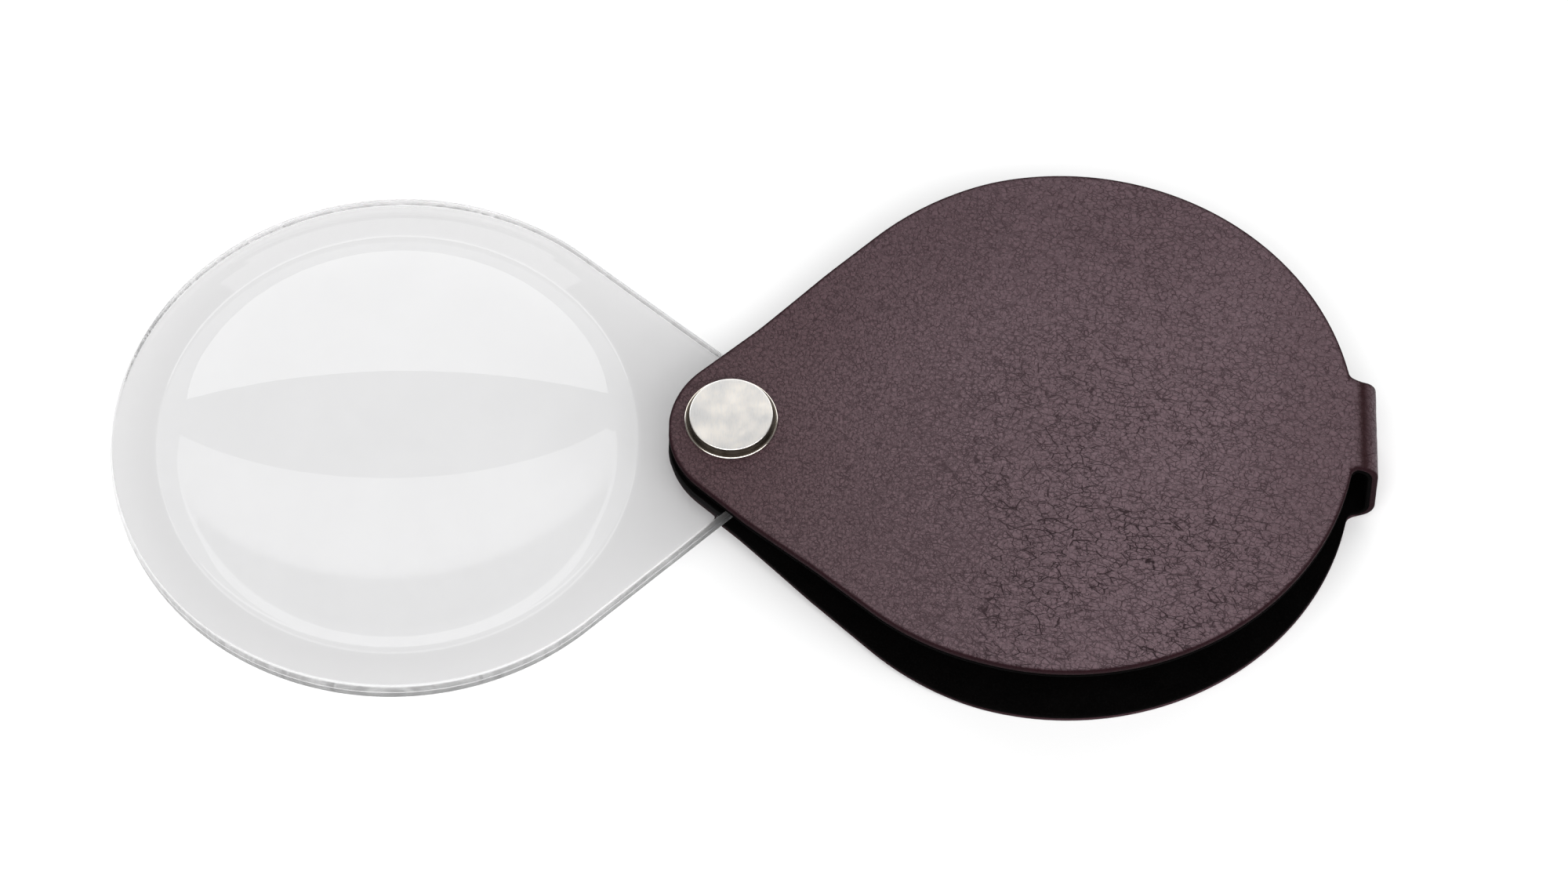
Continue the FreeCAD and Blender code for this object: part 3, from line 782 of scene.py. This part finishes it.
def lens_material():
    """Clear acrylic, slightly smudged, tinted grey as painted shade and greyer still on the flange.
    Lamps and bounced light go straight through it.
    """
    n = Nodes("clear_acrylic")
    smudge = n.noise(0.12, 5, 0.6, distortion=0.4)
    hairline = n.noise(1.0, 2, 0.5, vector=n.scaled(n.place, (0.15, 6.0, 0.15)))
    hairlines = n.ramp(hairline, 0.60, 0.72, 0.0, 0.012)
    roughness = n.math("ADD", n.ramp(smudge, 0.45, 0.8, 0.004, 0.022), hairlines)
    normal = n.bump(n.noise(0.08, 2), 0.00002, 0.25)
    rim = n.attribute("rim")
    tint = n.mix(n.ramp(smudge, 0.35, 0.70), LENS_TINT, LENS_TINT_SMUDGED)
    # painted shade: the flange's glass is tinted darker still
    tint = n.mix(n.attribute("flange"), tint, FLANGE_SHADE_TINT)
    tint = n.mix(rim, tint, RIM_TINT)
    tint = n.mix(n.math("MULTIPLY", n.attribute("rim_line"), 0.8), tint, PARTING_TINT)
    drafted_wall = n.math("MULTIPLY", rim, n.ramp(hairline, 0.3, 0.7, 0.42, 0.58))
    roughness = n.math("ADD", roughness, drafted_wall)
    material = n.finish(tint, roughness, normal, Transmission_Weight=1.0, IOR=1.49)
    path = n.add("ShaderNodeLightPath")
    clear = n.add("ShaderNodeBsdfTransparent")
    clear.inputs["Color"].default_value = LENS_SHADOW
    switch = n.add("ShaderNodeMixShader")
    passing = n.math("MAXIMUM", path.outputs["Is Shadow Ray"], path.outputs["Is Diffuse Ray"])
    n.link(passing, switch.inputs[0])
    n.link(n.shader.outputs["BSDF"], switch.inputs[1])
    n.link(clear.outputs["BSDF"], switch.inputs[2])
    n.link(switch.outputs[0], n.output.inputs["Surface"])
    return material


# painted shade: the dark leather reflected in the wall under the cap's brim and in the ring's floor
GROOVE_SHADE = (0.085, 0.070, 0.058)
WARM_STAIN = (0.985, 0.95, 0.90)


def nickel_material(name, colour, low, high, streaks):
    """Nickel plate with a faint drawn texture, soft stains, a few specks and painted shade in the
    groove.

    low and high bound its roughness, and streaks is the strength of the drawn texture.
    """
    n = Nodes(name)
    drawn = n.noise(2.2, 3, 0.6, vector=n.scaled(n.place, (2.4, 0.5, 1.0)))
    stain = n.noise(0.30, 4, 0.55, distortion=0.3)
    speck = n.noise(5.0, 2, 0.5)
    warm = tuple(c * t for c, t in zip(colour, WARM_STAIN))
    tint = n.mix(n.ramp(stain, 0.35, 0.65, 0.0, 1.0), colour, warm)
    tint = n.mix(n.ramp(drawn, 0.42, 0.70, 0.0, streaks), tint, tuple(c * 0.86 for c in colour))
    groove = n.attribute("groove")
    # painted shade: the groove is painted near black for the dark leather it reflects
    tint = n.mix(n.math("MULTIPLY", groove, n.ramp(stain, 0.2, 0.7, 1.0, 0.90)), tint, GROOVE_SHADE)
    specks = n.ramp(speck, 0.55, 0.8, 0.0, 0.04)
    roughness = n.math("ADD", n.ramp(stain, 0.35, 0.75, low, high), specks)
    roughness = n.math("ADD", roughness, n.math("MULTIPLY", groove, 0.12))
    height = n.math("ADD", n.math("MULTIPLY", drawn, 0.6), n.math("MULTIPLY", speck, 0.3))
    return n.finish(tint, roughness, n.bump(height, 0.000006, 0.30), Metallic=1.0)


def steel_material():
    """Turned steel, ringed along the rivet's axis."""
    n = Nodes("rivet_steel")
    turned = n.noise(3.0, 3, 0.6, vector=n.scaled(n.place, (1.0, 1.0, 8.0)))
    colour = n.mix(n.ramp(turned, 0.4, 0.7), (0.55, 0.54, 0.52), (0.44, 0.43, 0.41))
    roughness = n.ramp(turned, 0.3, 0.8, 0.28, 0.45)
    return n.finish(colour, roughness, n.bump(turned, 0.00001, 0.4), Metallic=1.0)


def board_material():
    """Black board with drawn-out fibres."""
    n = Nodes("dyed_board")
    fibre = n.noise(2.5, 5, 0.7, vector=n.scaled(n.place, (0.4, 1.6, 1.0)))
    colour = n.mix(n.ramp(fibre, 0.35, 0.7), (0.020, 0.018, 0.018), (0.040, 0.037, 0.036))
    return n.finish(colour, n.ramp(fibre, 0.3, 0.7, 0.95, 0.85), n.bump(fibre, 0.00004, 0.5))


def washer_material():
    """Pale fibre with flecks."""
    n = Nodes("washer_fibre")
    fleck = n.noise(3.5, 4, 0.6)
    colour = n.mix(n.ramp(fleck, 0.4, 0.7), (0.70, 0.68, 0.62), (0.60, 0.57, 0.50))
    return n.finish(colour, n.ramp(fleck, 0.3, 0.7, 0.62, 0.48), n.bump(fleck, 0.00002, 0.4))


def floor_material():
    """Pale matt floor with a faint cloud."""
    n = Nodes("pale_floor")
    cloud = n.noise(0.02, 3)
    colour = n.mix(cloud, (0.88, 0.88, 0.88), (0.90, 0.90, 0.90))
    return n.finish(colour, n.ramp(cloud, 0.3, 0.7, 0.85, 0.92), Specular_IOR_Level=0.2)


# ---------------------------------------------------------------- camera, light and floor
VIEW_ELEVATION = math.radians(58.7)
VIEW_AZIMUTH = math.radians(0.92)
VIEW_DISTANCE = 1.0  # metres
VIEW_TARGET = Vector((6.60, -1.24, 0.0))  # from the rivet, across and ahead of the camera, in mm
VIEW_WIDTH = 196.27085  # how much the picture takes in from side to side at the rivet, in mm
SENSOR = 36.0
FLOOR_HALF = 4.0  # metres
FLOOR_DROP = 0.00005  # metres
WORLD_STRENGTH = 0.20


def build_camera():
    """A long lens, looking down on the part from its near side."""
    across = Vector((math.cos(VIEW_AZIMUTH), math.sin(VIEW_AZIMUTH), 0))
    ahead = Vector((-math.sin(VIEW_AZIMUTH), math.cos(VIEW_AZIMUTH), 0))
    target = PIVOT + (across * VIEW_TARGET.x + ahead * VIEW_TARGET.y) * MM
    back = -ahead * math.cos(VIEW_ELEVATION) + Vector((0, 0, math.sin(VIEW_ELEVATION)))
    data = bpy.data.cameras.new("camera")
    data.sensor_width = SENSOR
    data.lens = SENSOR * VIEW_DISTANCE / (VIEW_WIDTH * MM)
    data.clip_start = 0.05
    data.clip_end = 20
    camera = bpy.data.objects.new("camera", data)
    bpy.context.scene.collection.objects.link(camera)
    camera.location = target + back * VIEW_DISTANCE
    camera.rotation_mode = "QUATERNION"
    camera.rotation_quaternion = (-back).to_track_quat("-Z", "Y")
    bpy.context.scene.camera = camera


def softbox(name, place, aim, width, depth, brightness):
    """A rectangular softbox; brightness is its radiance against white at 1."""
    centre = Vector(place)
    data = bpy.data.lights.new(name, "AREA")
    data.shape = "RECTANGLE"
    data.size = width
    data.size_y = depth
    data.energy = brightness * math.pi * width * depth
    light = bpy.data.objects.new(name, data)
    bpy.context.scene.collection.objects.link(light)
    light.location = centre
    light.rotation_mode = "QUATERNION"
    light.rotation_quaternion = (aim - centre).to_track_quat("-Z", "Y")


def build_light():
    """A tall wall of light behind, a sloping softbox in front, a small one on the spine's side."""
    scene = bpy.context.scene
    scene.view_settings.view_transform = "Standard"
    scene.view_settings.look = "None"
    world = bpy.data.worlds.new("studio")
    world.use_nodes = True
    background = world.node_tree.nodes["Background"]
    background.inputs["Color"].default_value = (1.0, 1.0, 1.0, 1.0)
    background.inputs["Strength"].default_value = WORLD_STRENGTH
    scene.world = world
    aim = Vector((0.0, 0.0, 0.0))
    softbox("back_softbox", (0.0, 1.0, 0.715), Vector((0.0, 0.0, 0.715)), 3.2, 1.13, 1.9)
    softbox("front_softbox", (0.0, -0.95, 1.30), aim, 2.8, 1.45, 3.4)
    softbox("side_softbox", (0.95, -0.45, 0.50), aim, 0.4, 0.4, 5.0)


def build_floor():
    """A wide floor a hair below the part."""
    signs = [(-1, -1), (1, -1), (1, 1), (-1, 1)]
    corners = [(FLOOR_HALF * across, FLOOR_HALF * along, -FLOOR_DROP) for across, along in signs]
    floor = mesh_object("floor", corners, [(0, 1, 2, 3)])
    floor.data.materials.append(floor_material())


# ---------------------------------------------------------------- putting it together
def place_piece(piece, material, body, node):
    """Give a new piece its material, and let it ride its body in place of the CAD node."""
    piece.data.materials.clear()
    piece.data.materials.append(material)
    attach(piece, body)
    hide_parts(node)


def paint_node(node, material):
    """Give a carried-over CAD node its material."""
    mesh = frame["nodes"][node].data
    mesh.materials.clear()
    mesh.materials.append(material)


build_camera()
build_light()
build_floor()
place_piece(build_leather(), leather_material(), "case", "leather_cover")
place_piece(build_lining(), lining_material(), "case", "lining")
place_piece(build_lens(), lens_material(), "lens", "lens")
cap_finish = nickel_material("nickel_cap", (1.0, 0.99, 0.975), 0.30, 0.42, 0.55)
ring_finish = nickel_material("nickel_ring", (0.80, 0.76, 0.70), 0.10, 0.18, 0.10)
for side, over in (("upper", False), ("lower", True)):
    cap = lathe("rivet_cap_" + side, cap_profile(), cap_groove, upside_down=over)
    ring = lathe("rolled_ring_" + side, ring_profile(), ring_groove, upside_down=over)
    place_piece(cap, cap_finish, "case", "cap_" + side)
    place_piece(ring, ring_finish, "case", "lip_ring_" + side)
steel = steel_material()
board = board_material()
washer = washer_material()
for node in ("rivet_post", "rivet_stud"):
    paint_node(node, steel)
for node in ("board_upper", "board_lower", "board_spine"):
    paint_node(node, board)
for node in ("washer_upper", "washer_lower"):
    paint_node(node, washer)
